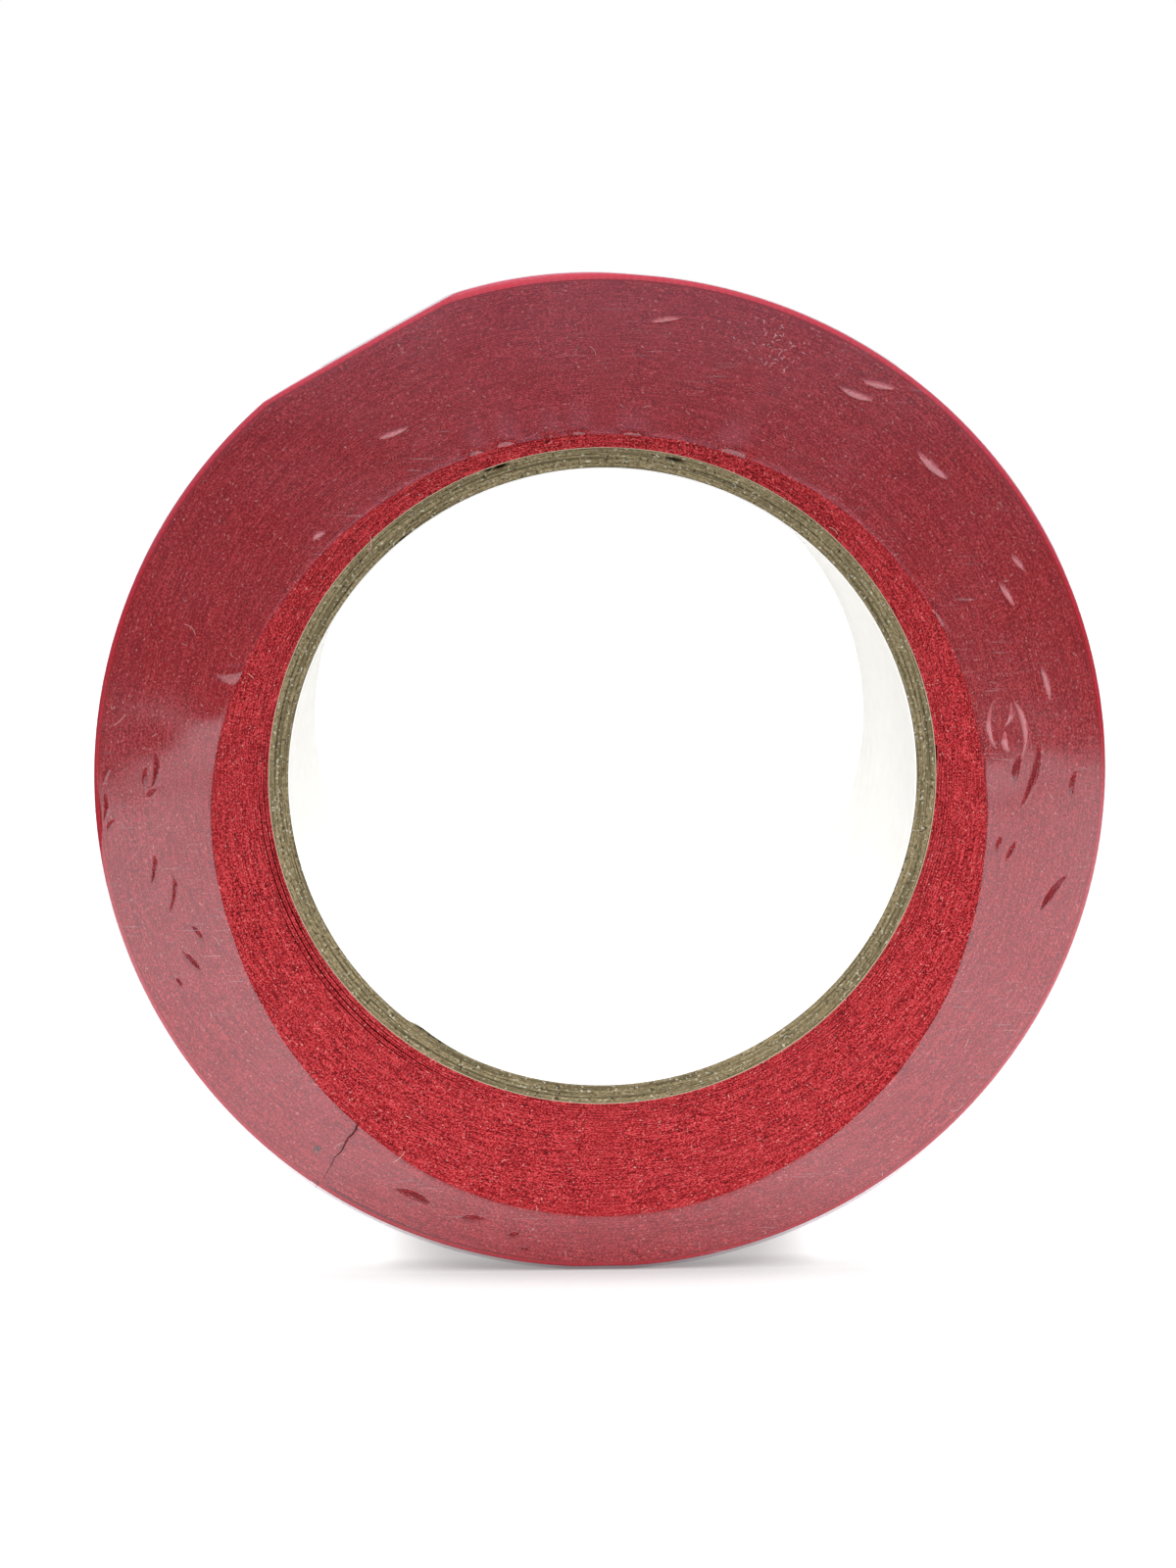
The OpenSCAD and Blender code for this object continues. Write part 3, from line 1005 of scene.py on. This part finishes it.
class TAPEROLL_OT_last_turn(Operator):
    """Lays the last turn and its free end as backing, scrim and adhesive"""

    bl_idname = "tape_roll.last_turn"
    bl_label = "Last turn and free end"

    def execute(self, context):
        tape = context.scene.roll_tape
        full = tape.thickness / MM
        # Layer, material, slot, depth of its outside, thickness
        layers = (
            ("backing", backing_material(tape), "tape_backing", 0.0, full * 0.31),
            ("scrim", scrim_material(tape), "tape_scrim", full * 0.33, full * 0.31),
            ("adhesive", adhesive_material(tape), "tape_adhesive", full * 0.66, full * 0.33),
        )
        root = (END_ROOT - SEAM) % 360
        for name, material, slot, depth, thickness in layers:
            turn = strip_layer(0, root, depth, thickness, tape)
            node = "last_turn_" + name
            make_piece(turn, node + "_strip", [material], slot, node, body="roll")
            end = strip_layer(root, END_STOP, depth, thickness, tape)
            node = "tape_end_" + name
            piece = make_piece(end, node + "_strip", [material], slot, node)
            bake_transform(piece)
        return {"FINISHED"}


class TAPEROLL_OT_film(Operator):
    """Shrinks the film over the roll, with its flap, seam, openings and wrinkles"""

    bl_idname = "tape_roll.film"
    bl_label = "Shrink film"

    def execute(self, context):
        film, tape = context.scene.roll_film, context.scene.roll_tape
        clear = film_material(film)
        root = (FLAP_ROOT - SEAM) % 360
        sleeve = film_sheet(0, root, film, tape, torn_first=True)
        make_piece(sleeve, "shrink_film", [clear], "shrink_film", "film_sleeve", body="roll", sharp=50)

        def on_film(draw):
            y = -HALF_WIDTH - film.stand_off / MM - 0.03
            patch_r, patch_a, in_patch = 56.2, 69.3, 0.7
            if draw.random() < in_patch:
                radius = patch_r + draw.uniform(-2.6, 2.6)
                return radius, patch_a + draw.gauss(0, 1.8), draw.uniform(0.2, 0.5), y
            return draw.uniform(50, 59), draw.uniform(10, 170), draw.uniform(0.1, 0.4), y

        # Dust on the film: pale, dull and soft
        pale = mottled_material("Pale dust", 0.6, "#c4949a", "#f2dcde", 0.9, 0.2)
        dust = loose_fibres(60, 0.03, on_film, seed=5)
        make_piece(dust, "dust_on_film", [pale], "shrink_film", body="roll")
        # Painted shade at the film's torn seam: a dark red coat on the flap's torn edge in front stands in
        # for the dark gap there
        torn = mottled_material("Torn film edge", 0.8, "#3a0d12", "#6d2028", 0.6, 0.5)
        flap = film_sheet(root, 360, film, tape, torn_last=True)
        make_piece(flap, "shrink_film_flap", [clear, torn], "shrink_film", "film_flap", body="flap", sharp=50)
        return {"FINISHED"}


class TAPEROLL_OT_stage(Operator):
    """Sets the floor, the flags, the lamps and the camera"""

    bl_idname = "tape_roll.stage"
    bl_label = "Stage"

    def execute(self, context):
        stage = context.scene.roll_stage
        self.floor(stage)
        self.flags(stage)
        self.world(context, stage)
        for name, size, place, target in LAMPS:
            self.lamp(name, getattr(stage, name), size, place, target)
        data = bpy.data.cameras.new("photo_camera")
        data.lens, data.sensor_width, data.clip_start = CAMERA_LENS, CAMERA_SENSOR, 0.01
        context.scene.camera = aim("photo_camera", data, CAMERA_PLACE, CAMERA_TARGET)
        context.scene.view_settings.view_transform = "Standard"
        return {"FINISHED"}

    def floor(self, stage):
        """A white table top that ends below the camera. It glows white where the camera sees it, with a
        painted shadow close to the roll and in front of it, and it glows in mirrors with a painted shade near
        the roll.
        """
        material, tree = new_material("White table top")
        path = add(tree, "LightPath")
        # Painted shadow in the glow that the camera sees: darker where the 6 mm occlusion is low at the
        # roll's foot, and, in front of the roll's front face only, where the 40 mm occlusion is low
        touch = add(tree, "AmbientOcclusion", {"Distance": 6 * MM}, samples=8)
        painted_contact_shade = add(tree, "MapRange", {0: touch.outputs["AO"], 1: 0.2, 2: 0.95, 3: 0.42, 4: 1.0})
        near = add(tree, "AmbientOcclusion", {"Distance": 40 * MM}, samples=8)
        _, y, _ = object_place(tree)
        before = add(tree, "MapRange", {0: y, 1: -19 * MM, 2: -25 * MM, 3: 1.0, 4: 0.32})
        soft = add(tree, "MapRange", {0: near.outputs["AO"], 1: 0.4, 2: 0.95, 3: before, 4: 1.0})
        painted_floor_shade = add(tree, "Math", {0: painted_contact_shade, 1: soft}, operation="MULTIPLY")
        seen = path.outputs["Is Camera Ray"]
        bright = add(tree, "Math", {0: seen, 1: painted_floor_shade}, operation="MULTIPLY")
        matt = add(tree, "BsdfDiffuse", {"Color": stage.floor})
        glow = add(tree, "Emission", {"Strength": bright})
        lit = add(tree, "AddShader", {0: matt, 1: glow})
        # Painted shade in the floor that mirrors show: its glow falls with the cube of the 40 mm occlusion
        # near the roll
        painted_shade_in_mirror = add(tree, "Math", {0: near.outputs["AO"], 1: 3.0}, operation="POWER")
        mirrored = add(tree, "Emission", {"Color": linear("#faf7ff"), "Strength": painted_shade_in_mirror})
        show(tree, add(tree, "MixShader", {0: path.outputs["Is Glossy Ray"], 1: lit, 2: mirrored}))
        front, back, half_width = -stage.flag_distance / MM, 3000, 2500
        bm = grid(4, 4)
        bmesh.ops.translate(bm, vec=(0.5, 0.5, 0), verts=bm.verts)
        bmesh.ops.scale(bm, vec=(2 * half_width, back - front, 1), verts=bm.verts)
        bmesh.ops.translate(bm, vec=(-half_width, front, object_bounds()[0].z / MM), verts=bm.verts)
        mesh_object(bm, "floor", [material])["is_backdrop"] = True

    def flags(self, stage):
        """Dark cards past the floor's front edge, beside and over the roll, which only mirrors show."""
        material, tree = new_material("Dark flag card")
        _, _, z = object_place(tree)
        # The cards glow, faintest near the floor and brightest high up, though they are no lamp: only glossy
        # rays see them, so they show only in the film's reflections
        glow = add(tree, "MapRange", {0: z, 1: 5 * MM, 2: 60 * MM, 3: 0.09, 4: 1.1})
        show(tree, add(tree, "Emission", {"Color": stage.flag, "Strength": glow}))
        front = -stage.flag_distance / MM - 10
        bm = bmesh.new()
        bmesh.ops.create_cube(bm, size=1)
        under = [f for f in bm.faces if f.calc_center_median().z < -0.4]
        bmesh.ops.delete(bm, geom=under, context="FACES_ONLY")
        back, top, aside, below = 900, 520, 20, 5
        bmesh.ops.translate(bm, vec=(0, 0.5, 0.5), verts=bm.verts)
        bmesh.ops.scale(bm, vec=(stage.flag_room / MM, back - front, top), verts=bm.verts)
        bmesh.ops.translate(bm, vec=(aside, front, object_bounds()[0].z / MM - below), verts=bm.verts)
        card = mesh_object(bm, "flags", [material])
        card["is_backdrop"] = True
        card.visible_camera = card.visible_diffuse = card.visible_shadow = False
        card.visible_transmission = card.visible_volume_scatter = False

    def world(self, context, stage):
        """White where it is seen or mirrored, and a softer light on the roll."""
        world = bpy.data.worlds.new("white_room")
        world.use_nodes = True
        tree = world.node_tree
        tree.nodes.clear()
        path = add(tree, "LightPath")
        seen = path.outputs["Is Glossy Ray"]
        for ray in ("Is Transmission Ray", "Is Camera Ray"):
            seen = add(tree, "Math", {0: seen, 1: path.outputs[ray]}, operation="MAXIMUM")
        level = add(tree, "MapRange", {0: seen, 3: stage.ambient, 4: 1.0})
        sky = add(tree, "Background", {"Color": (1.0, 1.0, 1.0, 1.0), "Strength": level})
        add(tree, "OutputWorld", {"Surface": sky})
        context.scene.world = world

    def lamp(self, name, power, size, place, target):
        """A soft lamp, size wide and high."""
        data = bpy.data.lights.new(name, "AREA")
        data.energy, data.shape, data.size, data.size_y = power, "RECTANGLE", size[0] * MM, size[1] * MM
        lamp = aim(name, data, place, target)
        lamp.visible_glossy = lamp.visible_camera = False


class TAPEROLL_PT_panel(Panel):
    """Lists the pieces of the roll and their settings"""

    bl_label = "Tape roll"
    bl_space_type = "VIEW_3D"
    bl_region_type = "UI"
    bl_category = "Tape roll"

    def draw(self, context):
        for operator, settings in OPERATORS.items():
            box = self.layout.box()
            box.operator(operator.bl_idname)
            group = getattr(context.scene, settings)
            for name in group.__annotations__:
                box.prop(group, name)


SETTINGS = {
    "roll_core": CoreSettings,
    "roll_tape": TapeSettings,
    "roll_film": FilmSettings,
    "roll_stage": StageSettings,
}

# Each operator, and the settings that the panel lists under it
OPERATORS = {
    TAPEROLL_OT_core: "roll_core",
    TAPEROLL_OT_winding: "roll_tape",
    TAPEROLL_OT_last_turn: "roll_tape",
    TAPEROLL_OT_film: "roll_film",
    TAPEROLL_OT_stage: "roll_stage",
}


def register():
    for group in (*SETTINGS.values(), *OPERATORS, TAPEROLL_PT_panel):
        bpy.utils.register_class(group)
    for name, group in SETTINGS.items():
        setattr(bpy.types.Scene, name, PointerProperty(type=group))


def unregister():
    for name in SETTINGS:
        delattr(bpy.types.Scene, name)
    for group in reversed((*SETTINGS.values(), *OPERATORS, TAPEROLL_PT_panel)):
        bpy.utils.unregister_class(group)


def main():
    """Builds every piece and the stage."""
    register()
    bpy.ops.tape_roll.core()
    bpy.ops.tape_roll.winding()
    bpy.ops.tape_roll.last_turn()
    bpy.ops.tape_roll.film()
    bpy.ops.tape_roll.stage()


if __name__ == "__main__":
    main()
